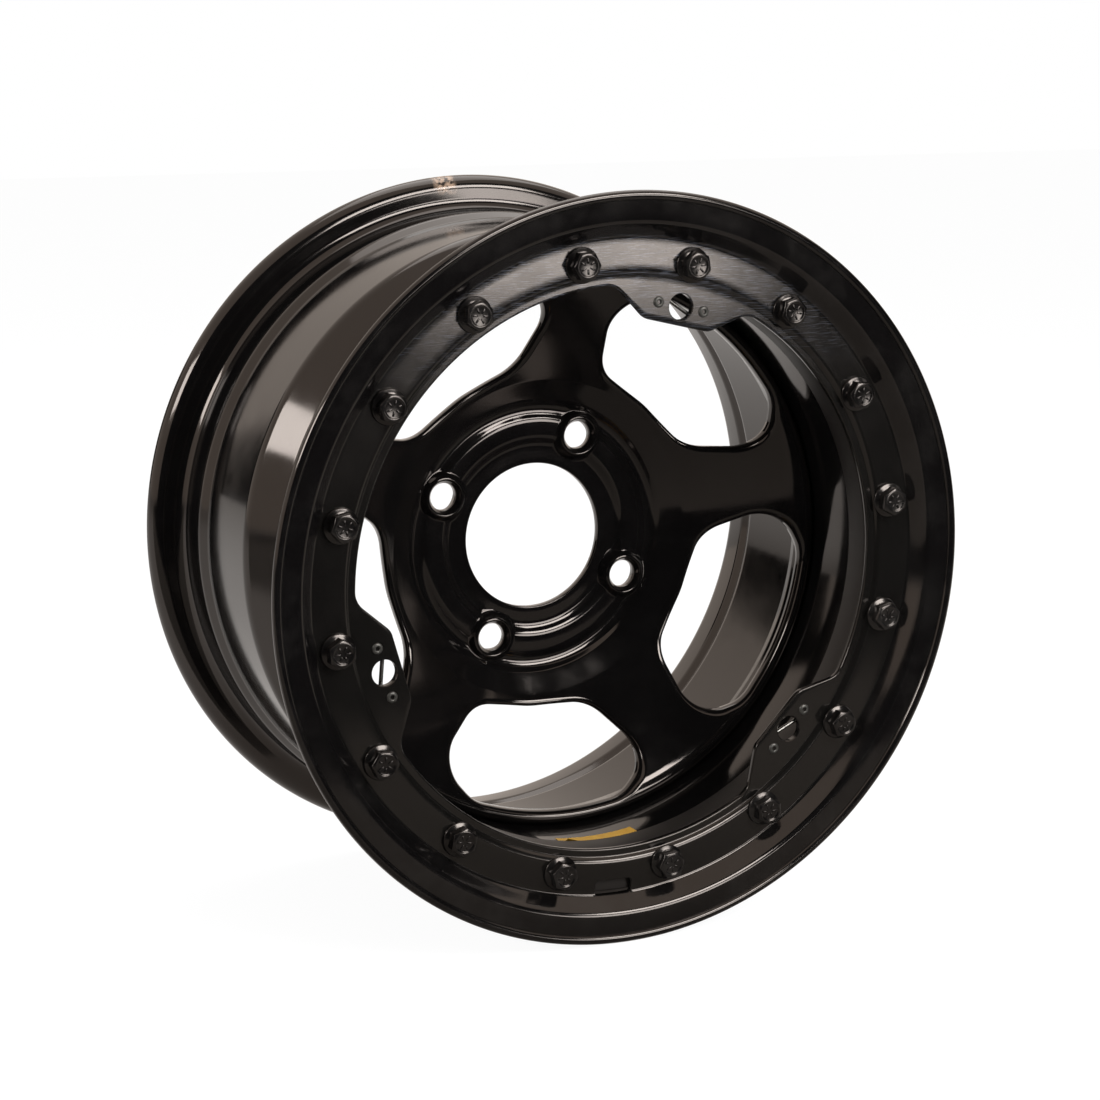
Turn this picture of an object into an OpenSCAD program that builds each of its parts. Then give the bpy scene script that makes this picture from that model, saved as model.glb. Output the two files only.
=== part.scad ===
// Steel beadlock racing wheel, 13 x 7 in: a rolled barrel, a pressed five-spoke
// centre welded inside it, and a bolted ring that clamps the outer tyre bead.
// Every piece is drawn lying on its back, outboard side up, with z = 0 on the
// hub mounting face, and upright() then stands the wheel on its tread.

/* [Barrel] */
// Diameter of the tyre bead seats
bead_seat_d = 329.4; // [322:0.2:336]
// Height of the inboard flange above its bead seat
flange_h = 17.5; // [12:0.5:19]
// Thickness of the barrel's sheet
barrel_sheet = 3.2; // [2.5:0.1:4]
// Step from the bead seat down to the ledge beside it, on the radius
ledge_drop = 3; // [2:0.5:5]
// Depth of the well, which the centre is welded into, below the bead seat
well_depth = 16.9; // [15:0.1:21]
// Distance from the hub face back to the edge of the inboard flange
backspace = 83; // [76:1:95]
// Distance from the hub face to where the ledge ends and the well wall starts
ledge_end = 12; // [4:1:18]
// Diameter of the hole for the tyre valve
valve_hole_d = 11.5; // [9:0.5:16]
// Distance from the barrel's front edge back to the valve hole
valve_in = 17; // [12:0.5:24]

/* [Centre] */
// Thickness of the centre's sheet
disc_sheet = 4; // [3:0.25:5]
// Diameter of the centre bore
bore_d = 76.2; // [60:0.2:82]
// Diameter of the circle through the wheel bolts
lug_pcd = 114.3; // [108:0.1:120]
// Number of wheel bolts
lug_count = 4; // [3:1:5]
// Diameter of each wheel bolt hole
lug_hole_d = 14.2; // [12:0.2:16]
// Diameter of the raised boss round each wheel bolt hole
lug_boss_d = 27; // [24:0.5:30]
// Height of the pressed ring that carries the bosses
pad_rise = 2; // [1:0.25:3]
// Height of the spokes' outer ends above the hub face
crown_h = 49; // [44:0.5:54]
// Number of windows
window_count = 5; // [4:1:6]
// Width of a spoke at its narrowest
spoke_w = 37; // [26:1:44]
// Width of a window's foot, between its lower corners
window_foot_w = 68; // [44:1:72]
// Depth of the lip turned back round each window
window_lip = 5; // [2:0.5:8]

/* [Clamp ring] */
// How far the clamp ring's edge stands out past the bead seat
ring_over = 21.2; // [19:0.1:24]
// Thickness of the ring's sheet
ring_sheet = 3.2; // [2.5:0.1:4]
// Distance from the hub face to the ring's front edge
front_reach = 120; // [116:1:128]
// Depth of the ring's dish, from its front edge to the bolt face
ring_dish = 11.2; // [8:0.2:14]
// Diameter of the rolled bead round the ring's edge
edge_bead_d = 4.8; // [4:0.2:6]
// Width of the ring's face, from its bend to the rolled bead
face_w = 12.7; // [11:0.1:14]
// How far the ring's lip reaches in past the wall of the barrel
lip_reach = 4.2; // [3.2:0.1:6.4]
// Step from the bolt face back to the inner lip
lip_step = 2; // [1:0.1:2.4]
// Width of the slot over the valve
slot_w = 20; // [12:1:24]
// Height of the slot over the valve
slot_h = 8; // [5:0.5:9]

/* [Clamp bolts] */
// Number of clamp bolts
bolt_count = 16; // [12:1:20]
// Diameter of the bolts' shanks
bolt_d = 8; // [6:0.5:8]
// Length of the shank under the head
bolt_len = 20; // [14:1:22]
// Size of the hexagon across its flats
bolt_af = 12.7; // [11:0.1:14]
// Diameter of the bolt's flange
bolt_flange_d = 17.6; // [16:0.2:19]
// Height of the whole head
bolt_head_h = 7.6; // [5:0.2:9]
// Gap between the bolts and the wall of the well
bolt_gap = 0.7; // [0.4:0.1:2]

/* [Cover tabs] */
// Number of tabs for the mud cover
tab_count = 3; // [3:1:5]
// How far a tab reaches in from the ring's inner edge
tab_reach = 17.9; // [16:0.1:22]
// Width of a tab at its tip
tab_tip_w = 36; // [34:1:44]
// Diameter of the hole for the cover's fastener
tab_hole_d = 12.7; // [8:0.1:13]
// Distance from the hole's centre to each rivet
rivet_offset = 12.7; // [12:0.1:14]
// Diameter of the rivets' shanks
rivet_d = 3.2; // [2.4:0.1:4]
// Diameter of the spring's wire
wire_d = 2; // [1.4:0.1:2.6]
// Radius of the eye that the wire makes round each rivet
eye_r = 4.6; // [3.8:0.1:5]

/* [Hidden] */
$fn = 120;
arc_steps = 6;       // straight pieces in each rounded corner of a section
running_gap = 0.2;   // clearance on the radius between a bolt and its hole
cut = 1;             // how far a cutter runs past the face that it leaves

// Angles as seen from outboard, anticlockwise from the right
lug_phase = 64.4;
window_phase = 48.9;
bolt_phase = 9.1;
tab_phase = 76.5;
slot_at = 268;
valve_at = 256;

// Barrel
bead_r = bead_seat_d / 2;
flange_r = bead_r + flange_h;
ledge_r = bead_r - ledge_drop;
well_r = bead_r - well_depth;
well_in_r = well_r - barrel_sheet;
flange_curl = 9.5;    // radius of the flange's rolled edge
flange_foot = 6.5;    // fillet between the flange and the bead seat
seat_taper = 1.5;     // fall of the bead seat across its width
seat_w = 18;          // width of the bead seat
hump_h = 2;           // height of the round hump that holds the bead out
hump_w = 12;          // width of the hump
well_slope = 16;      // length of the wall between the ledge and the well
flange_face = -backspace + flange_curl;
seat_end = flange_face + seat_w;

// Clamp ring, bead ring and bolts
edge_r = bead_r + ring_over;
ring_in_r = well_in_r - lip_reach;
bolt_face = front_reach - ring_dish;
ring_back = bolt_face - ring_sheet;
lip_face = bolt_face - lip_step;
lip_back = lip_face - ring_sheet;
bolt_r = well_r + bolt_gap + bolt_d / 2;
bead_ring_t = 10;     // thickness of the threaded part of the bead ring
bead_ring_back = ring_back - bead_ring_t;
spigot_len = 8.6;     // length of the bead ring's spigot inside the barrel
spigot_end = bead_ring_back - spigot_len;
spigot_in_r = well_in_r - barrel_sheet;
bead_lip = 7.3;       // height of the bead ring's flange above its seat
bead_w = 7;           // width of the bead ring's seat
wrench_gap = 2.2;     // clearance round a bolt's flange
dish_r = bolt_r + bolt_flange_d / 2 + wrench_gap; // foot of the clamp ring's dished wall
face_r = edge_r - edge_bead_d / 2 - face_w; // bend from that wall into the face
slot_out_r = dish_r + 0.6;

// Centre: radii and heights of its pressed section, outboard face
bore_r = bore_d / 2;
lug_r = lug_pcd / 2;
pad_half = 5.5;       // half the width of the pressed ring under the bosses
pad_bend = 2.5;       // run of each side of that ring
step_r = lug_r + 9.3; // foot of the step round the hub
step_run = 4.6;
step_h = 4.4;
shelf_w = 12;         // shelf between the step and the spokes
shelf_h = 6.3;
shelf_r = step_r + step_run + shelf_w;
shelf_z = disc_sheet + step_h + shelf_h;
crown_r = well_in_r - 10.6;
crown_rise = 4;       // rise from the crown to where it bends into the rim
rim_flange = 21;      // length of the cylinder that lies against the barrel
face_slope = (crown_h - shelf_z) / (crown_r - shelf_r);
boss_h = 3;           // height of a boss above the pressed ring
seat_angle = 60;      // included angle of the coned nut seat
seat_depth = 3.5;

// Windows: outline in the plane of the wheel, y pointing away from the hub
window_in_y = shelf_r + 4.6;
window_out_r = crown_r + 2.6;
side_slope = 0.824;   // slope of a window's side
wide_r = crown_r - 8.7; // radius at which the windows are widest
window_half = wide_r * sin(180 / window_count) - spoke_w / 2;
foot_half = window_foot_w / 2;
corner_x = window_half + 3.8;
corner_y = window_in_y + (corner_x - foot_half) * side_slope;
crest_angle = 13;     // half the angle over which the top is an arc about the axle
crest_y = window_out_r / cos(crest_angle);
shoulder_x = window_half * 0.77;
shoulder_y = crest_y - shoulder_x * tan(crest_angle);
window_depth = window_out_r - window_in_y;
foot_round = min(27, 0.56 * window_depth);     // corner radii, limited by the window's depth
wide_round = min(11, 0.23 * window_depth);
shoulder_round = min(22, 0.46 * window_depth);
lip_sheet = disc_sheet + 0.6; // reaches into the rim flange beside the window's top

// Cover tabs and springs
tab_r = ring_in_r - 8.7;   // radius of the fastener holes
tab_tip_y = ring_in_r - tab_reach;
tab_side = 33;             // slope of a tab's sides
tab_root = meet(ring_in_r, [tab_tip_w / 2, tab_tip_y], tab_side);
tab_blend = tab_root + 9 * unit([tab_root.y, -tab_root.x]);
eye_angle = asin(eye_r / rivet_offset);
bar_half = sqrt(rivet_offset * rivet_offset - eye_r * eye_r);
wire_z = lip_back - wire_d / 2;
rivet_head_d = 5.6;
rivet_head_h = 0.9;
rivet_tail_d = 2 * (eye_r - wire_d / 2) + 2.6;
rivet_tail_h = 1;

weld_leg = 3;         // leg of each fillet weld
weld_count = 10;      // stitches that hold the centre in the barrel
weld_arc = 20;        // angle that each stitch covers

// Functions for sheet-metal sections

function unit(v) = v / norm(v);
function left(v) = [-v.y, v.x];
function xy(p) = [p.x, p.y];

// Points of an arc of radius r that rounds corner b between a and c. A corner
// that turns by less than a degree stays a point
function corner(a, b, c, r) =
  let (u = unit(a - b), v = unit(c - b), half = acos(u * v) / 2)
  r == 0 || 180 - 2 * half < 1 ? [b] :
  let (
    centre = b + unit(u + v) * r / sin(half),
    p = b + u * r / tan(half) - centre,
    q = b + v * r / tan(half) - centre,
    from = atan2(p.y, p.x),
    sweep = (atan2(q.y, q.x) - from + 540) % 360 - 180
  )
  [for (i = [0:arc_steps]) let (t = from + sweep * i / arc_steps) centre + r * [cos(t), sin(t)]];

// An open path of [x, y, corner radius] with its corners rounded
function rounded_path(path) = let (last = len(path) - 1) [
  for (i = [0:last])
    each i == 0 || i == last
      ? [xy(path[i])]
      : corner(xy(path[i - 1]), xy(path[i]), xy(path[i + 1]), path[i].z)
];

// The same for a closed outline
function rounded_loop(loop) = let (n = len(loop)) [
  for (i = [0:n - 1])
    each corner(xy(loop[(i + n - 1) % n]), xy(loop[i]), xy(loop[(i + 1) % n]), loop[i].z)
];

// Where a line from p, at angle a to the x axis, meets a circle about the origin
function meet(r, p, a) =
  let (d = [cos(a), sin(a)], along = p * d)
  p + d * (sqrt(along * along - p * p + r * r) - along);

// Direction in which point i of a path moves when the path is offset by one
function offset_dir(p, i) = let (
    last = len(p) - 1,
    a = left(unit(p[max(i, 1)] - p[max(i, 1) - 1])),
    b = left(unit(p[min(i, last - 1) + 1] - p[min(i, last - 1)]))
  )
  (a + b) / (1 + a * b);

// The other face of a sheet of thickness t, run backwards, which lies to the
// left of the path, or to the right of it where t is negative
function other_side(p, t) = [for (i = [len(p) - 1:-1:0]) p[i] + t * offset_dir(p, i)];

// Section of a sheet whose one face follows the path
function sheet(path, t) = let (p = rounded_path(path)) concat(p, other_side(p, t));

// A closed outline of [x, y, radius], run anticlockwise, grown by d all round
function grown(loop, d) = let (n = len(loop)) [
  for (i = [0:n - 1])
    let (
      a = left(unit(xy(loop[i]) - xy(loop[(i + n - 1) % n]))),
      b = left(unit(xy(loop[(i + 1) % n]) - xy(loop[i]))),
      p = xy(loop[i]) - d * (a + b) / (1 + a * b)
    )
    [p.x, p.y, loop[i].z + d]
];

// Section paths, as [radius, height above the hub face, corner radius]

barrel_path = [
  [flange_r, -backspace, 0],
  [flange_r, flange_face, flange_curl - 0.5],
  [bead_r, flange_face, flange_foot],
  [bead_r - seat_taper, seat_end, 4],
  [bead_r - seat_taper + hump_h, seat_end + hump_w / 2, 5],
  [ledge_r, seat_end + hump_w, 3],
  [ledge_r, ledge_end, 8],
  [well_r, ledge_end + well_slope, 8],
  [well_r, bead_ring_back, 0]
];

disc_path = [
  [bore_r, disc_sheet, 0],
  [lug_r - pad_half - pad_bend, disc_sheet, 2],
  [lug_r - pad_half, disc_sheet + pad_rise, 4.5],
  [lug_r + pad_half, disc_sheet + pad_rise, 4.5],
  [step_r, disc_sheet, 2],
  [step_r + step_run, disc_sheet + step_h, 5.5],
  [shelf_r, shelf_z, 14],
  [crown_r, crown_h, 16],
  [well_in_r, crown_h + crown_rise, 5.5],
  [well_in_r, crown_h + crown_rise - rim_flange, 0]
];

ring_path = [
  [tab_tip_y - 2, lip_face, 0],
  [ring_in_r + 4, lip_face, 1],
  [ring_in_r + 4 + lip_step, bolt_face, 3.9],
  [dish_r, bolt_face, 2.5],
  [face_r, front_reach - 2.7, 4.6],
  [edge_r - edge_bead_d * 0.98, front_reach - 1.8, 0]
];

// Rolled edge: an arc from the face over the outside to the back of the sheet
edge_bead = [
  for (a = [163:-23:-90])
    [edge_r - edge_bead_d / 2, front_reach - edge_bead_d / 2] + edge_bead_d / 2 * [cos(a), sin(a)]
];

ring_rear = other_side(rounded_path(ring_path), -ring_sheet);

bead_ring_loop = [
  [spigot_in_r, spigot_end, 0.5],
  [well_in_r, spigot_end, 0.5],
  [well_in_r, bead_ring_back, 0],
  [bead_r - 7.5, bead_ring_back, 1],
  [bead_r - 7.5, bead_ring_back - 4.6, 1],
  [bead_r + bead_lip, bead_ring_back - 4.6, 2],
  [bead_r + bead_lip, bead_ring_back + 0.4, 2],
  [bead_r, bead_ring_back + 0.4, 2],
  [bead_r, bead_ring_back + 0.4 + bead_w, 1],
  [bead_r - 2.4, ring_back, 1],
  [ring_in_r + 8, ring_back, 1],
  [ring_in_r + 4.6, ring_back - 3.5, 1],
  [spigot_in_r, ring_back - 3.5, 1]
];

window_loop = [
  [-foot_half, window_in_y, foot_round],
  [foot_half, window_in_y, foot_round],
  [corner_x, corner_y, wide_round],
  [shoulder_x, shoulder_y, shoulder_round],
  [0, crest_y, window_out_r],
  [-shoulder_x, shoulder_y, shoulder_round],
  [-corner_x, corner_y, wide_round]
];

tab_loop = [
  [-tab_tip_w / 2, tab_tip_y, 8],
  [tab_tip_w / 2, tab_tip_y, 8],
  [tab_root.x, tab_root.y, 11],
  [tab_blend.x, tab_blend.y, 0],
  [tab_blend.x, ring_in_r + 3, 0],
  [-tab_blend.x, ring_in_r + 3, 0],
  [-tab_blend.x, tab_blend.y, 0],
  [-tab_root.x, tab_root.y, 11]
];

slot_loop = [
  [slot_out_r - slot_h, -slot_w / 2, 2.5],
  [slot_out_r, -slot_w / 2, 2.5],
  [slot_out_r, slot_w / 2, 2.5],
  [slot_out_r - slot_h, slot_w / 2, 2.5]
];

// Placing

module upright() { rotate([90, 0, 0]) children(); }

module around(count, phase) {
  for (i = [0:count - 1]) rotate(phase + i * 360 / count) children();
}

module turned(section) { rotate_extrude() polygon(section); }

module prism(outline, low, high) {
  translate([0, 0, low]) linear_extrude(high - low) polygon(outline);
}

module hole(d, x, low, high) {
  translate([x, 0, low]) cylinder(d = d, h = high - low, $fn = 48);
}

// Barrel: flange, bead seat with its hump, ledge and well in one rolled sheet

module rim_barrel() {
  valve_z = bead_ring_back - valve_in;
  color("#1d1c1b") difference() {
    turned(sheet(barrel_path, barrel_sheet));
    rotate([0, 90, valve_at]) translate([-valve_z, 0, well_in_r - cut])
      cylinder(d = valve_hole_d, h = barrel_sheet + 2 * cut, $fn = 48);
  }
}

// Centre: pressed dish with turned-in windows and coned wheel-bolt seats

module window_cut() {
  rotate(-90) prism(rounded_loop(window_loop), disc_sheet, front_reach);
}

module window_lips() {
  lip_low = shelf_z - disc_sheet - window_lip;
  back = [
    [shelf_r - 2, shelf_z - 2 * face_slope - disc_sheet / 2],
    [crown_r, crown_h - disc_sheet / 2],
    [well_in_r - disc_sheet / 2, crown_h + crown_rise - disc_sheet],
    [well_in_r - disc_sheet / 2, crown_h + crown_rise - disc_sheet - window_lip],
    [crown_r, crown_h - disc_sheet - window_lip],
    [shelf_r - 2, shelf_z - 2 * face_slope - disc_sheet - window_lip]
  ];
  intersection() {
    around(window_count, window_phase)
      rotate(-90) prism(rounded_loop(grown(window_loop, lip_sheet)), lip_low - cut, front_reach);
    turned(back);
  }
}

module lug_boss() {
  translate([lug_r, 0, disc_sheet])
    cylinder(d1 = lug_boss_d, d2 = lug_boss_d - 6, h = pad_rise + boss_h, $fn = 72);
}

module lug_hole() {
  top = disc_sheet + pad_rise + boss_h;
  hole(lug_hole_d, lug_r, -cut, top + cut);
  translate([lug_r, 0, top - seat_depth])
    cylinder(
      d1 = lug_hole_d, h = seat_depth + cut,
      d2 = lug_hole_d + 2 * (seat_depth + cut) * tan(seat_angle / 2), $fn = 48
    );
}

module centre_disc() {
  color("#1b1b1b") difference() {
    union() {
      turned(sheet(disc_path, -disc_sheet));
      window_lips();
      around(lug_count, lug_phase) lug_boss();
    }
    around(window_count, window_phase) window_cut();
    around(lug_count, lug_phase) lug_hole();
  }
}

// Bead ring: turned from plate, with a spigot that centres it in the barrel

module inner_bead_ring() {
  color("#222120") difference() {
    turned(rounded_loop(bead_ring_loop));
    around(bolt_count, bolt_phase)
      hole(bolt_d + 2 * running_gap, bolt_r, bead_ring_back - cut, ring_back + cut);
  }
}

// Clamp ring: pressed dish with a rolled edge, a stepped inner lip and tabs

module ring_opening() {
  translate([0, 0, lip_back - cut]) linear_extrude(ring_sheet + 2 * cut) difference() {
    circle(r = ring_in_r);
    around(tab_count, tab_phase - 90) polygon(rounded_loop(tab_loop));
  }
}

module clamp_ring() {
  color("#262524") difference() {
    turned(concat(rounded_path(ring_path), edge_bead, ring_rear));
    ring_opening();
    around(bolt_count, bolt_phase)
      hole(bolt_d + 2 * running_gap, bolt_r, ring_back - cut, bolt_face + cut);
    around(tab_count, tab_phase) {
      hole(tab_hole_d, tab_r, lip_back - cut, lip_face + cut);
      for (side = [-1, 1]) translate([0, side * rivet_offset, 0])
        hole(rivet_d, tab_r, lip_back - cut, lip_face + cut);
    }
    rotate(slot_at) prism(rounded_loop(slot_loop), ring_back - cut, front_reach);
  }
}

// Clamp bolt: a hexagon on a round flange, with a plain shank

module clamp_bolt() {
  flange_t = 1.8;
  translate([bolt_r, 0, bolt_face]) {
    cylinder(d = bolt_flange_d, h = flange_t * 0.5, $fn = 48);
    translate([0, 0, flange_t * 0.5])
      cylinder(d1 = bolt_flange_d, d2 = bolt_af, h = flange_t, $fn = 48);
    intersection() {
      cylinder(d = bolt_af / cos(30), h = bolt_head_h, $fn = 6);
      cylinder(d1 = bolt_af / cos(30) + 6, d2 = bolt_af - 1.2, h = bolt_head_h, $fn = 48);
    }
    translate([0, 0, -bolt_len]) cylinder(d = bolt_d, h = bolt_len + flange_t, $fn = 48);
  }
}

module clamp_bolts() {
  color("#3a3937") around(bolt_count, bolt_phase) clamp_bolt();
}

// Spring: a straight bar behind the fastener hole with an eye at each end

module wire_eye() {
  eye_sweep = 300;
  rotate(90 - eye_angle - eye_sweep + 180) rotate_extrude(angle = eye_sweep, $fn = 60)
    translate([eye_r, 0]) circle(d = wire_d, $fn = 16);
}

module wire_bar() {
  rotate(-eye_angle) rotate([0, 90, 0])
    translate([0, 0, -bar_half]) cylinder(d = wire_d, h = 2 * bar_half, $fn = 16);
}

module cover_spring(index) {
  color("#8b8a86") rotate(tab_phase + index * 360 / tab_count)
    translate([tab_r, 0, wire_z]) rotate(90) {
      wire_bar();
      for (turn = [0, 180]) rotate(turn) translate([rivet_offset, 0, 0]) wire_eye();
    }
}

module spring_rivet() {
  translate([0, 0, lip_face]) cylinder(d1 = rivet_head_d, d2 = rivet_head_d - 1, h = rivet_head_h, $fn = 32);
  translate([0, 0, lip_back - wire_d - rivet_tail_h])
    cylinder(d = rivet_d, h = ring_sheet + wire_d + rivet_tail_h + rivet_head_h, $fn = 32);
  translate([0, 0, lip_back - wire_d - rivet_tail_h])
    cylinder(d = rivet_tail_d, h = rivet_tail_h, $fn = 32);
}

module spring_rivets() {
  color("#55534f") around(tab_count, tab_phase)
    for (side = [-1, 1]) translate([tab_r, side * rivet_offset, 0]) spring_rivet();
}

// Welds: stitches behind the centre, and one bead round the spigot

module fillet(r, z, rise) {
  polygon([[r, z], [r - weld_leg, z], [r - weld_leg * 0.4, z + rise * 0.4], [r, z + rise]]);
}

module centre_welds() {
  flange_end = crown_h + crown_rise - rim_flange;
  color("#2b2a29") around(weld_count, window_phase)
    rotate(-weld_arc / 2) rotate_extrude(angle = weld_arc) fillet(well_in_r, flange_end, -weld_leg);
}

module bead_ring_weld() {
  color("#2b2a29") rotate_extrude() fillet(well_in_r, spigot_end, -weld_leg);
}

upright() {
  rim_barrel();
  centre_disc();
  inner_bead_ring();
  clamp_ring();
  clamp_bolts();
  cover_spring(0);  // cover_spring_1
  cover_spring(1);  // cover_spring_2
  cover_spring(2);  // cover_spring_3
  spring_rivets();
  centre_welds();
  bead_ring_weld();
}
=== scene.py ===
import bpy
import math
from mathutils import Vector, Matrix


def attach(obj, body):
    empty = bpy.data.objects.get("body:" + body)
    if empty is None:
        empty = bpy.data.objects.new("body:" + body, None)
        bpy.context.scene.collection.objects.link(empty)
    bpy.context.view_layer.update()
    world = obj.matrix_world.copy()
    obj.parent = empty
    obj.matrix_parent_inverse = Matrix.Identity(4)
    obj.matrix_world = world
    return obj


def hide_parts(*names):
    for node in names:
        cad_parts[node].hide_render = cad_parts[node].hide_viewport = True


# Beadlock wheel: black enamelled steel, standing on a white sweep, seen from its front left.
# Lengths are millimetres and angles are degrees as seen from the front, anticlockwise from the right.
# A section is a list of (radius, height), where height is the distance outboard of the hub face.

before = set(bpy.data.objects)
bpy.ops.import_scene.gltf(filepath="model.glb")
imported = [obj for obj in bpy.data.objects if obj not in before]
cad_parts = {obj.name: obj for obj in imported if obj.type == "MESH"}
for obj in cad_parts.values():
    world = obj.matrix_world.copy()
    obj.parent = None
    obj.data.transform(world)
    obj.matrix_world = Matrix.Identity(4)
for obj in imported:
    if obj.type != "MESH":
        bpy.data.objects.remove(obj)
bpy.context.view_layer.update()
print("frame loaded:", len(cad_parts), "nodes")

mm = 0.001
fullTurn = 2 * math.pi
spunGap = 0.01 * mm  # points of a spun sheet that are closer than this become one
sheetGap = 0.002 * mm  # and those of a sheet joined from several

wheel = {
    "ringRadius": 185.9,
    "frontReach": 120.0,
    "wellRadius": 147.8,
    "beadRadius": 164.7,
    "backspace": 83.0,
}


def place(radius, degrees, height):
    a = math.radians(degrees)
    return Vector((radius * math.cos(a), -height, radius * math.sin(a))) * mm


def angleOf(point):
    return math.degrees(math.atan2(point.z, point.x)) % 360


def radiusOf(point):
    return math.hypot(point.x, point.z) / mm


def moveTo(vertex, radius):
    # out or in to a radius from the axle
    scale = radius / radiusOf(vertex.co)
    vertex.co.x *= scale
    vertex.co.z *= scale


def roundCorner(a, b, c, r, steps):
    # arc points that round corner b between a and c, all in the section's plane
    u = (a - b).normalized()
    v = (c - b).normalized()
    half = math.acos(max(-1, min(1, u.dot(v)))) / 2
    if r == 0 or half > 1.56:
        return [b]
    centre = b + (u + v).normalized() * r / math.sin(half)
    p = b + u * r / math.tan(half) - centre
    q = b + v * r / math.tan(half) - centre
    sweep = math.atan2(p.x * q.y - p.y * q.x, p.dot(q))
    return [centre + Matrix.Rotation(sweep * i / steps, 2) @ p for i in range(steps + 1)]


def roundedPath(corners, steps=8, closed=False):
    # corners are (x, y, radius); an open path keeps its two ends
    flat = [Vector(c[:2]) for c in corners]
    last = len(flat) - 1
    path = []
    for i, corner in enumerate(corners):
        if not closed and i in (0, last):
            path.append(flat[i])
        else:
            path += roundCorner(flat[i - 1], flat[i], flat[(i + 1) % len(flat)], corner[2], steps)
    return path


def offsetPath(path, distance):
    # each point moved to its left, so that every stretch moves by the distance
    moved = []
    for i, p in enumerate(path):
        before = (p - path[i - 1]).normalized() if i > 0 else None
        after = (path[i + 1] - p).normalized() if i < len(path) - 1 else None
        before = before or after
        after = after or before
        n = Vector((-before.y, before.x))
        m = Vector((-after.y, after.x))
        moved.append(p + (n + m) / (1 + n.dot(m)) * distance)
    return moved


def roundEnd(p, q, steps=6):
    # half circle from p to q, bulging to the right of the way from p to q
    middle = (p + q) / 2
    arm = p - middle
    return [middle + Matrix.Rotation(math.pi * i / steps, 2) @ arm for i in range(1, steps)]


def sheetSection(corners, thickness, steps=8):
    # closed section of a sheet with rolled-off ends, the second face to the left where thickness is above 0
    face = roundedPath(corners, steps)
    back = offsetPath(face, thickness)
    endA, endB = roundEnd(face[-1], back[-1]), roundEnd(back[0], face[0])
    if thickness < 0:
        endA = [face[-1] + back[-1] - p for p in endA]
        endB = [face[0] + back[0] - p for p in endB]
        endA.reverse()
        endB.reverse()
    return face + endA + back[::-1] + endB


def deselect():
    if bpy.context.object and bpy.context.object.mode == "EDIT":
        bpy.ops.object.mode_set(mode="OBJECT")
    bpy.ops.object.select_all(action="DESELECT")


def selectOnly(piece):
    deselect()
    piece.select_set(True)
    bpy.context.view_layer.objects.active = piece


def editWhole(piece):
    # the piece in edit mode, with all of it selected
    selectOnly(piece)
    bpy.ops.object.mode_set(mode="EDIT")
    bpy.ops.mesh.select_all(action="SELECT")


def drawChain(name, points, closed=False):
    # an edge chain, drawn by extruding one vertex from point to point; it is left in edit mode
    deselect()
    bpy.ops.mesh.primitive_plane_add(size=0.01)
    piece = bpy.context.object
    piece.name = name
    bpy.ops.object.mode_set(mode="EDIT")
    bpy.ops.mesh.merge(type="CENTER")
    bpy.ops.transform.translate(value=points[0])
    trail = points + points[:1] if closed else points
    for here, there in zip(trail, trail[1:]):
        bpy.ops.mesh.extrude_vertices_move(TRANSFORM_OT_translate={"value": there - here})
    return piece


def spinSection(name, section, steps, startAt=0, closed=True, sweep=360):
    # a section turned round the axle, once round unless a smaller sweep is given
    piece = drawChain(name, [place(p[0], startAt, p[1]) for p in section], closed)
    bpy.ops.mesh.select_all(action="SELECT")
    bpy.ops.mesh.spin(steps=steps, angle=math.radians(sweep), center=(0, 0, 0), axis=(0, 1, 0))
    bpy.ops.mesh.select_all(action="SELECT")
    bpy.ops.mesh.remove_doubles(threshold=spunGap)
    bpy.ops.mesh.normals_make_consistent(inside=False)
    bpy.ops.object.mode_set(mode="OBJECT")
    return piece


def smooth(piece, degrees=35):
    selectOnly(piece)
    bpy.ops.object.shade_smooth_by_angle(angle=math.radians(degrees))
    return piece


def applied(piece, kind, **settings):
    # adds one modifier, sets it and applies it
    selectOnly(piece)
    modifier = piece.modifiers.new(kind.title(), kind)
    for key, value in settings.items():
        setattr(modifier, key, value)
    bpy.ops.object.modifier_apply(modifier=modifier.name)
    return piece


def joined(pieces, name):
    deselect()
    for piece in pieces:
        piece.select_set(True)
    bpy.context.view_layer.objects.active = pieces[0]
    bpy.ops.object.join()
    pieces[0].name = name
    return pieces[0]


def mergePoints(piece, turnFaces=False):
    # points at one place become one, and the faces are turned the same way where that is asked for
    editWhole(piece)
    bpy.ops.mesh.remove_doubles(threshold=sheetGap)
    if turnFaces:
        bpy.ops.mesh.normals_make_consistent(inside=False)
    bpy.ops.object.mode_set(mode="OBJECT")
    return piece


def closeEnds(piece):
    # faces over the open ends, and all faces turned outwards
    editWhole(piece)
    bpy.ops.mesh.fill_holes(sides=0)
    bpy.ops.mesh.select_all(action="SELECT")
    bpy.ops.mesh.normals_make_consistent(inside=False)
    bpy.ops.object.mode_set(mode="OBJECT")
    return piece


def deleteFaces(piece, wanted):
    # takes out the faces whose middles pass the test
    selectOnly(piece)
    bpy.ops.object.mode_set(mode="EDIT")
    bpy.ops.mesh.select_mode(type="FACE")
    bpy.ops.mesh.select_all(action="DESELECT")
    bpy.ops.object.mode_set(mode="OBJECT")
    for polygon in piece.data.polygons:
        polygon.select = wanted(polygon.center)
    bpy.ops.object.mode_set(mode="EDIT")
    bpy.ops.mesh.delete(type="FACE")
    bpy.ops.mesh.select_mode(type="VERT")
    bpy.ops.object.mode_set(mode="OBJECT")


def copied(piece, move):
    # a copy with its own mesh, moved or turned
    copy = piece.copy()
    copy.data = piece.data.copy()
    bpy.context.collection.objects.link(copy)
    copy.data.transform(move)
    return copy


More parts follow.
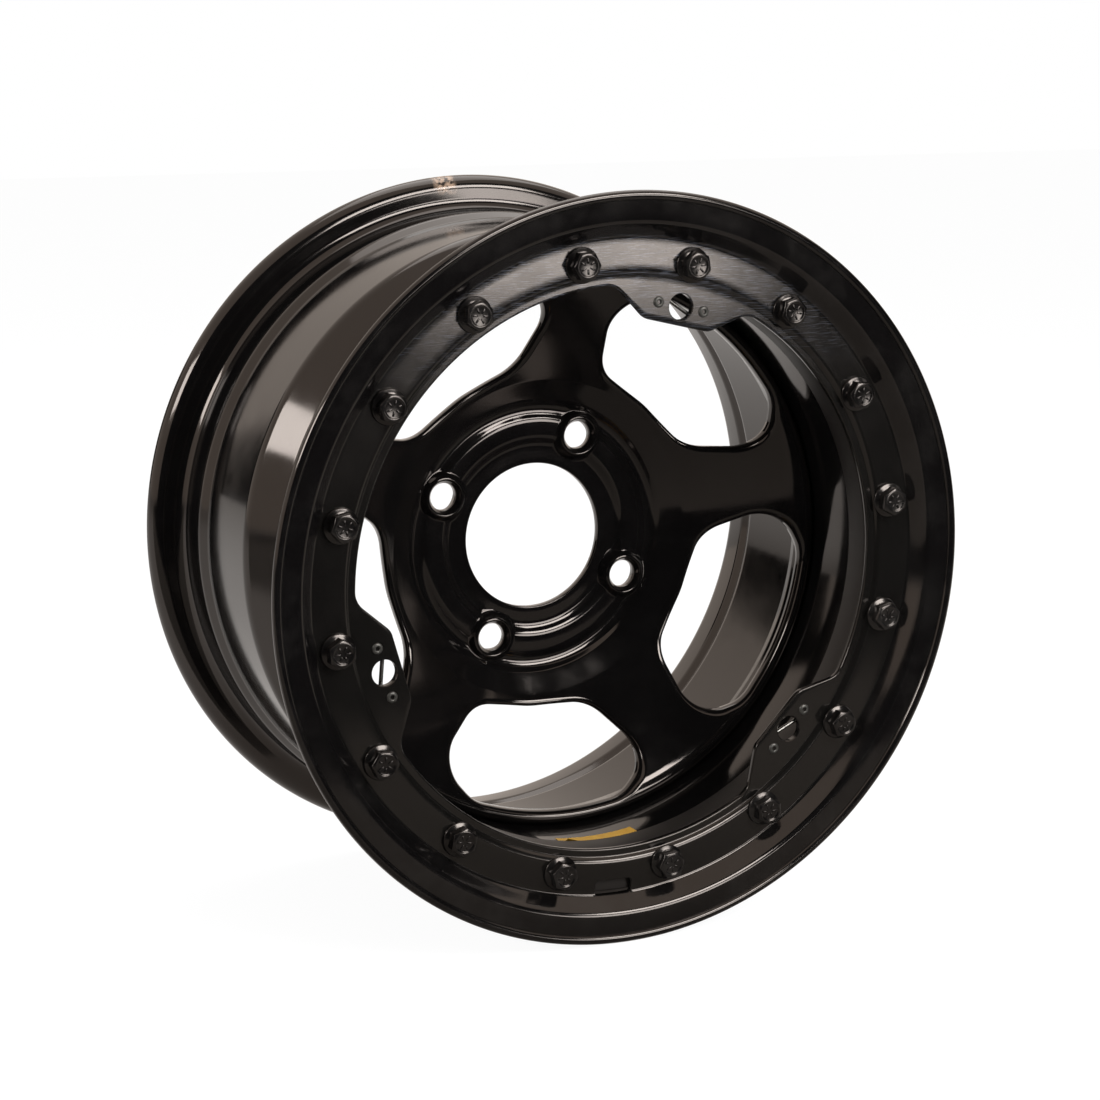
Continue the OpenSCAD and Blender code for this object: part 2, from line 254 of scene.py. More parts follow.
def cutWith(piece, cutter):
    applied(piece, "BOOLEAN", operation="DIFFERENCE", object=cutter, solver="EXACT")
    bpy.data.objects.remove(cutter)
    return piece


def finished(piece, material, slotName, *nodes):
    piece.data.materials.clear()
    piece.data.materials.append(material)
    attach(piece, "root")
    if nodes:
        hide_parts(*nodes)
    return piece


# Materials

def linear(hexColour):
    # sRGB hex to the linear values that Blender works in
    channels = [int(hexColour[i:i + 2], 16) / 255 for i in (1, 3, 5)]
    return tuple(c / 12.92 if c <= 0.04045 else ((c + 0.055) / 1.055) ** 2.4 for c in channels) + (1,)


multiply = {"operation": "MULTIPLY"}
larger = {"operation": "MAXIMUM"}
colours = {"data_type": "RGBA"}


def addNode(owner, kind, settings=None, **inputs):
    # one node of a material or the world: plain settings by name, sockets by name or number,
    # and links where a value is a socket
    tree = owner.node_tree
    node = tree.nodes.new(kind)
    for key, value in (settings or {}).items():
        setattr(node, key, value)
    for key, value in inputs.items():
        socket = node.inputs[int(key[1:])] if key[1:].isdigit() else node.inputs[key.replace("_", " ")]
        if isinstance(value, bpy.types.NodeSocket):
            tree.links.new(value, socket)
        else:
            socket.default_value = value
    return node


def newMaterial(name):
    material = bpy.data.materials.new(name)
    material.use_nodes = True
    for node in list(material.node_tree.nodes):
        if node.type != "OUTPUT_MATERIAL":
            material.node_tree.nodes.remove(node)
    return material


def connect(material, shader):
    output = material.node_tree.nodes["Material Output"]
    material.node_tree.links.new(shader.outputs[0], output.inputs["Surface"])
    return material


enamel = {
    "colour": "#0a0909",
    "dustColour": "#3a3836",
    "sheenColour": "#fdf0e7",
    "roughness": 0.07,
    "orangePeelSize": 2.2,
    "orangePeelDepth": 0.006,
}


def blackEnamel(name, dust=0.03, roughness=enamel["roughness"]):
    # Sprayed gloss black enamel on steel: a hard clear skin over black, with faint orange peel
    # that ripples long reflections, and a thin film of dust.
    m = newMaterial(name)
    where = addNode(m, "ShaderNodeTexCoord").outputs["Object"]
    peel = addNode(m, "ShaderNodeTexNoise", Vector=where, Scale=1000 / enamel["orangePeelSize"], Detail=1.0)
    bump = addNode(m, "ShaderNodeBump", Strength=0.35, Distance=enamel["orangePeelDepth"] * mm,
                   Height=peel.outputs[0])
    film = addNode(m, "ShaderNodeTexNoise", Vector=where, Scale=45.0, Detail=5.0, Roughness=0.65)
    filmMask = addNode(m, "ShaderNodeMapRange", Value=film.outputs[0], _1=0.45, _2=0.75)
    dusty = [a + (b - a) * dust for a, b in zip(linear(enamel["colour"]), linear(enamel["dustColour"]))]
    shade = addNode(m, "ShaderNodeMix", colours,
                    _0=filmMask.outputs[0], _6=linear(enamel["colour"]), _7=dusty)
    rough = addNode(m, "ShaderNodeMapRange", Value=film.outputs[0], _1=0.3, _2=0.8,
                    _3=roughness, _4=roughness + 0.08)
    paint = addNode(m, "ShaderNodeBsdfPrincipled", Base_Color=shade.outputs[2], Roughness=rough.outputs[0],
                    IOR=1.5, Specular_Tint=linear(enamel["sheenColour"]), Normal=bump.outputs[0])
    return connect(m, paint)


def enamelParts(material):
    # the shader node of an enamel, and the socket that its colour comes from
    paint = next(node for node in material.node_tree.nodes if node.type == "BSDF_PRINCIPLED")
    return paint, paint.inputs["Base Color"].links[0].from_socket


wear = {
    "dullColour": "#0e0d0c",
    "handled": (165, 162),  # radius where the handled part starts, and where it is complete
    # the scuffs' pale bluish colour and the top band that holds it: partly real scuffs, partly a painted
    # reflection on the top of the face
    "scuffAndReflectionColour": "#8d93a3",
    "scuffScale": (110, 110, 2600),
    "scuffLean": 0.5,
    "scuffedAndReflected": (95, 150),  # height above the axle, in the same way
    "rustColour": "#a88f7b",
    "rustAt": -14.3,
    "rustHalf": (7, 4),
    "rusted": (172, 176),
}


def clampRingEnamel():
    # The same enamel on the clamp ring. Its bolt face and lip have been handled and clamped, so they are
    # duller and greyer than the mirror-like rim, with fine scuffs round the bolts at the top. The scuffs'
    # pale bluish colour, laid only on the top, is also a painted reflection of the bright bluish patch that
    # the top of the face reflects.
    m = blackEnamel("clampRingEnamel", dust=0.1)
    paint, shade = enamelParts(m)
    rough = paint.inputs["Roughness"].links[0].from_socket
    where = addNode(m, "ShaderNodeTexCoord").outputs["Object"]
    start, full = wear["handled"]
    flat = addNode(m, "ShaderNodeVectorMath", multiply, _0=where, _1=(1, 0, 1))
    radius = addNode(m, "ShaderNodeVectorMath", {"operation": "LENGTH"}, _0=flat.outputs[0])
    handled = addNode(m, "ShaderNodeMapRange", Value=radius.outputs["Value"], _1=start * mm, _2=full * mm)
    # painted reflection: the pale bluish scuff colour is laid only on this band at the top, where the face
    # reflects a bright bluish patch
    low, high = wear["scuffedAndReflected"]
    axes = addNode(m, "ShaderNodeSeparateXYZ", _0=where)
    scuffAndReflectionBand = addNode(m, "ShaderNodeMapRange", Value=axes.outputs[2], _1=low * mm, _2=high * mm)
    stretch = addNode(m, "ShaderNodeMapping", Vector=where, Scale=wear["scuffScale"],
                      Rotation=(0, wear["scuffLean"], 0))
    scratches = addNode(m, "ShaderNodeTexNoise", Vector=stretch.outputs[0], Scale=1.0, Detail=4.0)
    scuffs = addNode(m, "ShaderNodeMapRange", Value=scratches.outputs[0], _1=0.52, _2=0.78, _4=0.4)
    marked = addNode(m, "ShaderNodeMath", multiply, _0=scuffs.outputs[0], _1=scuffAndReflectionBand.outputs[0])
    marked = addNode(m, "ShaderNodeMath", multiply, _0=marked.outputs[0], _1=handled.outputs[0])
    dull = addNode(m, "ShaderNodeMix", colours, _0=handled.outputs[0], _6=shade,
                   _7=linear(wear["dullColour"]))
    scuffedAndReflected = addNode(m, "ShaderNodeMix", colours,
                      _0=marked.outputs[0], _6=dull.outputs[2], _7=linear(wear["scuffAndReflectionColour"]))
    rougher = addNode(m, "ShaderNodeMath", {"operation": "MULTIPLY_ADD"},
                      _0=handled.outputs[0], _1=0.035, _2=rough)
    m.node_tree.links.new(scuffedAndReflected.outputs[2], paint.inputs["Base Color"])
    m.node_tree.links.new(rougher.outputs[0], paint.inputs["Roughness"])
    return m


def barrelEnamel():
    # The same enamel on the rolled barrel. The butt weld of its rear flange shows through the paint
    # as a small rusty beige mark near the top.
    m = blackEnamel("rolledBarrelEnamel")
    paint, shade = enamelParts(m)
    where = addNode(m, "ShaderNodeTexCoord").outputs["Object"]
    axes = addNode(m, "ShaderNodeSeparateXYZ", _0=where)
    moved = addNode(m, "ShaderNodeMath", {"operation": "ADD"}, _0=axes.outputs[0], _1=-wear["rustAt"] * mm)
    aside = addNode(m, "ShaderNodeMath", {"operation": "ABSOLUTE"}, _0=moved.outputs[0])
    start, full = wear["rustHalf"]
    narrow = addNode(m, "ShaderNodeMapRange", Value=aside.outputs[0], _1=start * mm, _2=full * mm)
    low, high = wear["rusted"]
    raised = addNode(m, "ShaderNodeMapRange", Value=axes.outputs[2], _1=low * mm, _2=high * mm)
    ragged = addNode(m, "ShaderNodeTexNoise", Vector=where, Scale=420.0, Detail=4.0)
    flaked = addNode(m, "ShaderNodeMapRange", Value=ragged.outputs[0], _1=0.38, _2=0.55, _4=0.9)
    mark = addNode(m, "ShaderNodeMath", multiply, _0=narrow.outputs[0], _1=raised.outputs[0])
    mark = addNode(m, "ShaderNodeMath", multiply, _0=mark.outputs[0], _1=flaked.outputs[0])
    marked = addNode(m, "ShaderNodeMix", colours, _0=mark.outputs[0], _6=shade,
                     _7=linear(wear["rustColour"]))
    m.node_tree.links.new(marked.outputs[2], paint.inputs["Base Color"])
    return m


def plainSteel(name, colour, roughness, metallic=1.0):
    # Zinc or oxide finished steel: small uneven patches and a fine grain
    m = newMaterial(name)
    where = addNode(m, "ShaderNodeTexCoord").outputs["Object"]
    grain = addNode(m, "ShaderNodeTexNoise", Vector=where, Scale=900.0, Detail=3.0)
    patches = addNode(m, "ShaderNodeTexNoise", Vector=where, Scale=160.0, Detail=4.0)
    darker = tuple(c * 0.45 for c in linear(colour)[:3]) + (1,)
    shade = addNode(m, "ShaderNodeMix", colours, _0=patches.outputs[0], _6=linear(colour), _7=darker)
    rough = addNode(m, "ShaderNodeMapRange", Value=patches.outputs[0], _1=0.3, _2=0.7,
                    _3=roughness, _4=roughness + 0.15)
    bump = addNode(m, "ShaderNodeBump", Strength=0.3, Distance=0.00003, Height=grain.outputs[0])
    metal = addNode(m, "ShaderNodeBsdfPrincipled", Base_Color=shade.outputs[2], Roughness=rough.outputs[0],
                    Metallic=metallic, Normal=bump.outputs[0])
    return connect(m, metal)


barrelPaint = barrelEnamel()
centrePaint = blackEnamel("pressedCentreEnamel", roughness=0.05)
ringPaint = clampRingEnamel()
beadRingPaint = blackEnamel("unpolishedBeadRingEnamel", dust=0, roughness=0.5)  # hidden, so never polished
boltSteel = blackEnamel("paintedBoltEnamel", dust=0.25, roughness=0.16)
wireSteel = plainSteel("springWire", "#8e8b86", 0.25)
rivetSteel = plainSteel("dullRivet", "#5b5955", 0.35, 0.8)


def makeStickerPaper():
    # Plain yellow vinyl label film, gone dull, with faint creases
    m = newMaterial("yellowLabelFilm")
    where = addNode(m, "ShaderNodeTexCoord").outputs["Object"]
    fade = addNode(m, "ShaderNodeTexNoise", Vector=where, Scale=220.0, Detail=4.0)
    shade = addNode(m, "ShaderNodeMix", colours,
                    _0=fade.outputs[0], _6=linear("#d9a521"), _7=linear("#b98612"))
    crease = addNode(m, "ShaderNodeTexNoise", Vector=where, Scale=400.0, Detail=2.0)
    bump = addNode(m, "ShaderNodeBump", Strength=0.4, Distance=0.00008, Height=crease.outputs[0])
    film = addNode(m, "ShaderNodeBsdfPrincipled", Base_Color=shade.outputs[2], Roughness=0.45,
                   Normal=bump.outputs[0])
    return connect(m, film)


stickerPaper = makeStickerPaper()
print("materials made")

# Barrel

barrel = {
    "sheet": 3.2,
    "flangeRadius": 182.2,
    "flangeFace": -73.5,
    "seatEnd": -55.5,
    "humpTop": -49.5,
    "ledgeStart": -43.5,
    "ledgeEnd": 12.0,
    "wellStart": 28.0,
    "wellEnd": 95.6,
    "valveAt": 256,
    "valveHeight": 78.6,
    "valveHole": 11.5,
    "drillLength": 20,
    "steps": 288,
}


def makeBarrel():
    b = barrel
    half = b["sheet"] / 2
    seat, well = wheel["beadRadius"], wheel["wellRadius"]
    path = [
        (b["flangeRadius"], -wheel["backspace"] + half, 0),
        (b["flangeRadius"], b["flangeFace"], 7.6),
        (seat, b["flangeFace"], 6.5),
        (seat - 1.5, b["seatEnd"], 4),
        (seat + 0.5, b["humpTop"], 5),
        (seat - 3, b["ledgeStart"], 3),
        (seat - 3, b["ledgeEnd"], 8),
        (well, b["wellStart"], 8),
        (well, b["wellEnd"] - half, 0),
    ]
    piece = spinSection("rimBarrel", sheetSection(path, b["sheet"], 10), b["steps"])
    deselect()
    bpy.ops.mesh.primitive_cylinder_add(vertices=48, radius=b["valveHole"] / 2 * mm,
                                        depth=b["drillLength"] * mm)
    drill = bpy.context.object
    drill.data.transform(Matrix.Rotation(math.pi / 2, 4, "Y"))
    drill.data.transform(Matrix.Translation((well * mm, -b["valveHeight"] * mm, 0)))
    drill.data.transform(Matrix.Rotation(-math.radians(b["valveAt"]), 4, "Y"))
    cutWith(piece, drill)
    smooth(piece)
    return finished(piece, barrelPaint, "barrel_paint", "rim_barrel")


makeBarrel()
print("barrel done")

# Centre

centre = {
    "sheet": 4.0,
    "lugCircle": 57.15,
    "lugAt": 64.4,
    "lugCount": 4,
    "lugPatch": (44.0, 70.6),
    "lugPatchHalf": 14.5,
    "bossFoot": 13.5,
    "bossReach": 14.5,
    "bossTop": 9.0,
    "bossSlope": 5 / 3,
    "topBlend": 1.6,
    "footBlend": 1.2,
    "seatBlend": 0.5,
    "lugHole": 7.1,
    "seatDepth": 3.5,
    "solidBore": 42.1,
    "spokeAt": 12.9,
    "windowCount": 5,
    "windowBand": (84.8, 140.5),
    "windowRows": 11,
    "sideRows": 30,
    "windowMiddle": 113.0,
    "edgeRoll": 3.4,
    "lipDepth": 3.2,
    "smoothBand": (72.8, 143),
    "steps": 360,
}

centrePath = [
    (38.1, 0, 0), (38.1, 4, 0.6), (48.2, 3.7, 6), (52.2, 6.4, 6), (61.6, 6.4, 7), (67.2, 3.6, 6),
    (72.3, 8.4, 7), (83.05, 14.7, 14), (133.8, 49, 16), (144.4, 53, 5.5), (144.4, 32, 0),
]

# a window's outline, with the hub below it: the foot bows in a little with the hub's curve
windowCorners = [
    (-33, 86.3, 22), (0, 88.9, 60), (33, 86.3, 22), (60.6, 110.6, 15.5), (42.5, 130.4, 22),
    (0, 140.2, 136.6), (-42.5, 130.4, 22), (-60.6, 110.6, 15.5),
]


def sampled(path, spacing, stops=()):
    # the path with its straight stretches divided, and a point at each stop radius
    points = [path[0]]
    for a, b in zip(path, path[1:]):
        count = math.ceil((b - a).length / spacing)
        cuts = {i / count for i in range(1, count)}
        cuts |= {(s - a.x) / (b.x - a.x) for s in stops if a.x < s < b.x}
        points += [a.lerp(b, t) for t in sorted(cuts)] + [b]
    return points


pressed = roundedPath(centrePath, 40)


def heightAt(radius):
    # height of the centre's outboard face, before its rim turns back
    for a, b in zip(pressed, pressed[1:]):
        if a.x <= radius <= b.x and b.x > a.x:
            return a.y + (b.y - a.y) * (radius - a.x) / (b.x - a.x)
    return pressed[0].y


def rearHeight(radius):
    return max(heightAt(radius) - centre["sheet"], 0)


def blendMax(a, b, width):
    gap = max(width - abs(a - b), 0) / width
    return max(a, b) + gap * gap * width / 4


def bossHeight(point, lug):
    # the sheet's height near a wheel bolt hole: a coned boss, and a seat coned at 60 degrees for the nut
    c = centre
    distance = math.hypot(point.x - lug.x, point.z - lug.z) / mm
    ground = heightAt(radiusOf(point))
    cone = c["sheet"] + (c["bossFoot"] - distance) * c["bossSlope"]
    boss = -blendMax(-cone, -c["bossTop"], c["topBlend"])
    if distance < c["bossReach"]:
        ground = blendMax(ground, boss, c["footBlend"])
    seat = c["bossTop"] - c["seatDepth"] + (distance - c["lugHole"]) * math.sqrt(3)
    return -blendMax(-ground, -seat, c["seatBlend"])


def closedLoop(points):
    # a circle whose vertices are put on the given points, which go once round
    deselect()
    bpy.ops.mesh.primitive_circle_add(vertices=len(points), radius=0.01)
    loop = bpy.context.object
    for vertex, point in zip(loop.data.vertices, points):
        vertex.co = point
    return loop


def bridged(loops, cuts):
    # neighbouring loops joined by bands of faces
    whole = loops[0]
    for loop, cut in zip(loops[1:], cuts):
        count = len(loop.data.vertices)
        whole = joined([whole, loop], whole.name)
        total = len(whole.data.vertices)
        first = whole.get("lastLoop", 0)
        bpy.ops.object.mode_set(mode="EDIT")
        bpy.ops.mesh.select_all(action="DESELECT")
        bpy.ops.object.mode_set(mode="OBJECT")
        for vertex in whole.data.vertices:
            vertex.select = first <= vertex.index < first + count or vertex.index >= total - count
        for edge in whole.data.edges:
            edge.select = all(whole.data.vertices[v].select for v in edge.vertices)
        bpy.ops.object.mode_set(mode="EDIT")
        bpy.ops.mesh.select_mode(type="EDGE")
        bpy.ops.mesh.bridge_edge_loops(type="SINGLE", number_cuts=cut, interpolation="LINEAR")
        bpy.ops.mesh.select_mode(type="VERT")
        bpy.ops.object.mode_set(mode="OBJECT")
        whole["lastLoop"] = total - count
    return whole


def windowRays(outline, directions):
    # where rays from the window's middle meet the outline, with the outline's outward normal there
    middle = Vector((0, centre["windowMiddle"]))
    hits = []
    for way in directions:
        for i, a in enumerate(outline):
            b = outline[(i + 1) % len(outline)]
            side = b - a
            cross = way.x * side.y - way.y * side.x
            if abs(cross) < 1e-9:
                continue
            gap = a - middle
            reach = (gap.x * side.y - gap.y * side.x) / cross
            along = (gap.x * way.y - gap.y * way.x) / cross
            if reach > 0 and 0 <= along < 1:
                hits.append(middle + way * reach)
                break
    count = len(hits)
    normals = []
    for i in range(count):
        side = (hits[(i + 1) % count] - hits[i - 1]).normalized()
        normals.append(Vector((side.y, -side.x)))
    return hits, normals


def makeWindowSector():
    # the sheet between two spokes' centre lines: from the sector's edge to the rolled lip of its window
    c = centre
    inner, outer = c["windowBand"]
    half = 180 / c["windowCount"]
    steps = round(2 * half)
    rows = c["sideRows"]
    deep = outer - inner

    def ray(degrees):
        return Vector((math.sin(math.radians(degrees)), math.cos(math.radians(degrees))))

    edge = [ray(i - half) * inner for i in range(steps)]
    edge += [ray(half) * (inner + deep * i / rows) for i in range(rows)]
    edge += [ray(half - i) * outer for i in range(steps)]
    edge += [ray(-half) * (outer - deep * i / rows) for i in range(rows)]
    middle = Vector((0, c["windowMiddle"]))
    outline = roundedPath(windowCorners, 24, closed=True)
    hits, normals = windowRays(outline, [(p - middle).normalized() for p in edge])
    roll = [math.radians(15 * i) for i in range(7)]
    grown = [c["edgeRoll"] * (1 - math.sin(a)) for a in roll] + [0, 0]
    drops = [c["edgeRoll"] * (1 - math.cos(a)) for a in roll]
    drops += [c["edgeRoll"] + c["lipDepth"] * i / 2 for i in (1, 2)]

    def raised(points, drop=0):
        return [Vector((p.x, -(heightAt(p.length) - drop), p.y)) * mm for p in points]

    loops = [closedLoop(raised(edge))]
    for grow, drop in zip(grown, drops):
        loops.append(closedLoop(raised([h + n * grow for h, n in zip(hits, normals)], drop)))
    between = c["windowRows"]
    sector = bridged(loops, [between] + [0] * (len(loops) - 2))
    # the rows between the sector's edge and the roll follow the pressed face
    for vertex in sector.data.vertices[2 * len(edge):(2 + between) * len(edge)]:
        vertex.co.y = -heightAt(radiusOf(vertex.co)) * mm
    return sector


def trueNormals(piece):
    # where the outboard face lies on the pressed section, it is shaded as that smooth face,
    # and not by its facets
    normals = []
    low, high = centre["smoothBand"]
    aside, closeBy = 0.3, 0.004
    for vertex in piece.data.vertices:
        r = radiusOf(vertex.co)
        height = -vertex.co.y / mm
        if low < r < high and abs(height - heightAt(r)) < closeBy:
            slope = (heightAt(r + aside) - heightAt(r - aside)) / (2 * aside)
            flat = Vector((vertex.co.x, 0, vertex.co.z)).normalized()
            normals.append((flat * -slope + Vector((0, -1, 0))).normalized())
        else:
            normals.append(Vector((0, 0, 0)))
    piece.data.normals_split_custom_set_from_vertices(normals)


def fillBosses(piece, lugs):
    # the bosses and the bore's edge are solid: behind them the rear face follows the pressed section
    foot = centre["bossReach"] * mm
    vertices = piece.data.vertices
    half = len(vertices) // 2
    for front, rear in zip(vertices[:half], vertices[half:]):
        r = radiusOf(front.co)
        nearest = min(math.hypot(front.co.x - lug.x, front.co.z - lug.z) for lug in lugs)
        if r < centre["solidBore"] or nearest < foot:
            rear.co = (front.co.x, -rearHeight(r) * mm, front.co.z)
    return mergePoints(piece)


def makeCentre():
    c = centre
    inner, outer = c["windowBand"]
    lugInner, lugOuter = c["lugPatch"]
    path = roundedPath(centrePath, 5)
    hub = sampled([p for p in path if p.x < inner] + [Vector((inner, heightAt(inner)))], 3, c["lugPatch"])
    rim = [Vector((outer, heightAt(outer)))] + [p for p in path if p.x > outer]
    hubSheet = spinSection("pressedCentre", hub, c["steps"], c["spokeAt"], closed=False)
    rimSheet = spinSection("rimFlange", sampled(rim, 4), c["steps"], c["spokeAt"], closed=False)

    lugs = [place(c["lugCircle"], c["lugAt"] + 360 / c["lugCount"] * i, 0) for i in range(c["lugCount"])]
    patches = []
    for lug in lugs:
        lugAngle = angleOf(lug)

        def inPatch(point):
            away = abs((angleOf(point) - lugAngle + 180) % 360 - 180)
            return away < c["lugPatchHalf"] and lugInner < radiusOf(point) < lugOuter

        deleteFaces(hubSheet, inPatch)
        rows = sorted({round(p.x, 4) for p in hub if lugInner - 0.01 <= p.x <= lugOuter + 0.01})
        span = round(2 * c["lugPatchHalf"])
        start = lugAngle - c["lugPatchHalf"]
        edge = [(rows[0], start + i) for i in range(span)]
        edge += [(r, start + span) for r in rows[:-1]]
        edge += [(rows[-1], start + span - i) for i in range(span)]
        edge += [(r, start) for r in rows[:0:-1]]
        border = [place(r, t, heightAt(r)) for r, t in edge]
        flat = [Vector((p.x - lug.x, 0, p.z - lug.z)).normalized() for p in border]
        loops = [closedLoop(border)]
        # the heights only keep the loops apart until they are bridged, and are then set by the boss
        for reach, height in [(c["bossFoot"] + 0.2, 6), (c["lugHole"], 5), (c["lugHole"], 2)]:
            loops.append(closedLoop([lug + (way * reach + Vector((0, -height, 0))) * mm for way in flat]))
        patch = bridged(loops, [3, 14, 0])
        last = len(patch.data.vertices) - len(border)
        for vertex in patch.data.vertices[len(border):last]:
            vertex.co.y = -bossHeight(vertex.co, lug) * mm
        for vertex in patch.data.vertices[last:]:
            vertex.co.y = -rearHeight(radiusOf(vertex.co)) * mm
        patches.append(patch)

    # the sector is made with its window straight up, so it turns from there
    sector = makeWindowSector()
    apart = 360 / c["windowCount"]
    sectors = []
    for i in range(c["windowCount"]):
        turn = c["spokeAt"] + apart / 2 - 90 + apart * i
        sectors.append(copied(sector, Matrix.Rotation(-math.radians(turn), 4, "Y")))
    bpy.data.objects.remove(sector)
    piece = joined([hubSheet, rimSheet] + patches + sectors, "pressedCentre")
    mergePoints(piece, turnFaces=True)
    applied(piece, "SOLIDIFY", thickness=c["sheet"] * mm, offset=-1, use_quality_normals=True)
    fillBosses(piece, lugs)
    smooth(piece, 40)
    trueNormals(piece)
    return finished(piece, centrePaint, "centre_paint", "centre_disc")


makeCentre()
print("centre done")

# Clamp ring

ring = {
    "sheet": 3.2,
    "beadRadius": 2.4,
    "face": 108.8,
    "lipFace": 106.8,
    "innerRadius": 140.4,
    "lipWidth": 4,
    "spunFrom": 120.5,
    "stretchWidth": 2.9,
    "tabCount": 3,
    "tabAt": 76.5,
    "tabTip": 122.5,
    "tabTipHalf": 18,
    "tabRoot": (37.6, 135.25),
    "tabBlend": (46.2, 132.8),
    "tabHole": 12.7,
    "tabHoleAt": 131.7,
    "slotAt": 268,
    "slotBand": (156.1, 164.1),
    "slotHalf": 10,
    "edgeRound": 0.8,
    "chamfer": 0.5,
    "cutDepth": 6,
    "steps": 720,
}


def tabAngle(index):
    return ring["tabAt"] + 360 / ring["tabCount"] * index


def tabEdge():
    # one tab's outline as (degrees from its middle, radius)
    k = ring
    half, tip = k["tabTipHalf"], k["tabTip"]
    rootX, rootY = k["tabRoot"]
    blendX, blendY = k["tabBlend"]
    outline = roundedPath([(-blendX, blendY, 0), (-rootX, rootY, 11), (-half, tip, 8),
                           (half, tip, 8), (rootX, rootY, 11), (blendX, blendY, 0)])
    return [(math.degrees(math.atan2(p.x, p.y)), p.length) for p in sampled(outline, 1.0)]


tabOutline = tabEdge()


def innerEdge(degrees):
    # radius of the ring's inner edge, less where a tab reaches in
    apart = 360 / ring["tabCount"]
    away = (degrees - ring["tabAt"] + apart / 2) % apart - apart / 2
    for (a, reachA), (b, reachB) in zip(tabOutline, tabOutline[1:]):
        if a <= away <= b and b > a:
            return min(ring["innerRadius"], reachA + (reachB - reachA) * (away - a) / (b - a))
    return ring["innerRadius"]


def spot(radius, degrees, out, along, height):
    # a point beside the one at radius and degrees: so far out from the axle and so far round from it
    a = math.radians(degrees)
    return place(radius + out, degrees, height) + Vector((-math.sin(a), 0, math.cos(a))) * along * mm


def plug(levels):
    # closed solid through outlines of as many points each
    return closeEnds(bridged([closedLoop(points) for points in levels], [0] * (len(levels) - 1)))


def chamferedHole(radius, degrees, outline, face):
    # cutter for a hole through the sheet with a chamfered edge; the outline goes round its middle
    flare = ring["chamfer"]
    levels = []
    for grow, height in ((0, face - ring["cutDepth"]), (0, face - flare), (2 * flare, face + flare)):
        wider = [p + p.normalized() * grow for p in outline]
        levels.append([spot(radius, degrees, p.x, p.y, height) for p in wider])
    return plug(levels)


def circleOutline(r, count):
    return [Vector((r * math.cos(fullTurn * i / count), r * math.sin(fullTurn * i / count)))
            for i in range(count)]


def ringSection():
    # the sheet's front face out to the rolled edge, then its rear face back to the inner edge
    k = ring
    lip, bend = k["lipFace"], k["innerRadius"] + k["lipWidth"]
    edge, reach = wheel["ringRadius"], wheel["frontReach"]
    front = roundedPath([
        (k["spunFrom"], lip, 0), (bend, lip, 1), (bend + 2, k["face"], 3.9), (163.5, k["face"], 2.5),
        (170.8, reach - 2.7, 4.6), (edge - 4.7, reach - 1.8, 0),
    ], 6)
    rear = offsetPath(front, -k["sheet"])
    middle = Vector((edge - k["beadRadius"], reach - k["beadRadius"]))
    bead = [middle + Vector((math.cos(math.radians(a)), math.sin(math.radians(a)))) * k["beadRadius"]
            for a in range(163, -91, -14)]
    frontEnd = roundCorner(rear[0], front[0], front[1], k["edgeRound"], 4)
    rearEnd = roundCorner(rear[1], rear[0], front[0], k["edgeRound"], 4)
    return sampled(frontEnd + front[1:] + bead + rear[:0:-1] + rearEnd, 3)


def makeClampRing():
    k = ring
    piece = spinSection("clampRing", ringSection(), k["steps"], k["tabAt"])
    start, held, stop = k["spunFrom"], k["edgeRound"], k["innerRadius"] + k["stretchWidth"]
    # the lip is spun as wide as a tab reaches, and drawn out to the inner edge between the tabs
    for vertex in piece.data.vertices:
        r = radiusOf(vertex.co)
        if r < stop:
            inner = innerEdge(angleOf(vertex.co))
            moved = inner + r - start
            if r > start + held:
                moved = inner + held + (r - start - held) * (stop - inner - held) / (stop - start - held)
            moveTo(vertex, moved)
    outline = circleOutline(k["tabHole"] / 2, 48)
    cutters = [chamferedHole(k["tabHoleAt"], tabAngle(i), outline, k["lipFace"])
               for i in range(k["tabCount"])]
    low, high = k["slotBand"]
    deep, wide = (high - low) / 2, k["slotHalf"]
    corners = [(-deep, -wide, 2.5), (deep, -wide, 2.5), (deep, wide, 2.5), (-deep, wide, 2.5)]
    outline = roundedPath(corners, 6, closed=True)
    cutters.append(chamferedHole((low + high) / 2, k["slotAt"], outline, k["face"]))
    cutWith(piece, joined(cutters, "cutters"))
    smooth(piece)
    return finished(piece, ringPaint, "ring_paint", "clamp_ring")


makeClampRing()
print("clamp ring done")

# Clamp bolts

bolt = {
    "count": 16,
    "firstAt": 9.1,
    "circleRadius": 152.5,
    "flangeRadius": 8.8,
    "acrossFlats": 12.7,
    "headHeight": 7.6,
    "shankRadius": 4.0,
    "shankLength": 20.0,
    "pitch": 1.25,
    "threadLength": 14.0,
    "markCount": 6,
    "markAt": 2.6,
    "markLength": 2.6,
    "markWidth": 0.9,
    "markHeight": 0.35,
    "dishDepth": 0.5,
    "turnStep": 37,
}


def latheSection(name, profile, steps):
    # an open profile of (radius, height) turned round its own axis, its ends closed where they meet the axis
    return spinSection(name, [Vector(p) for p in profile], steps, closed=False)


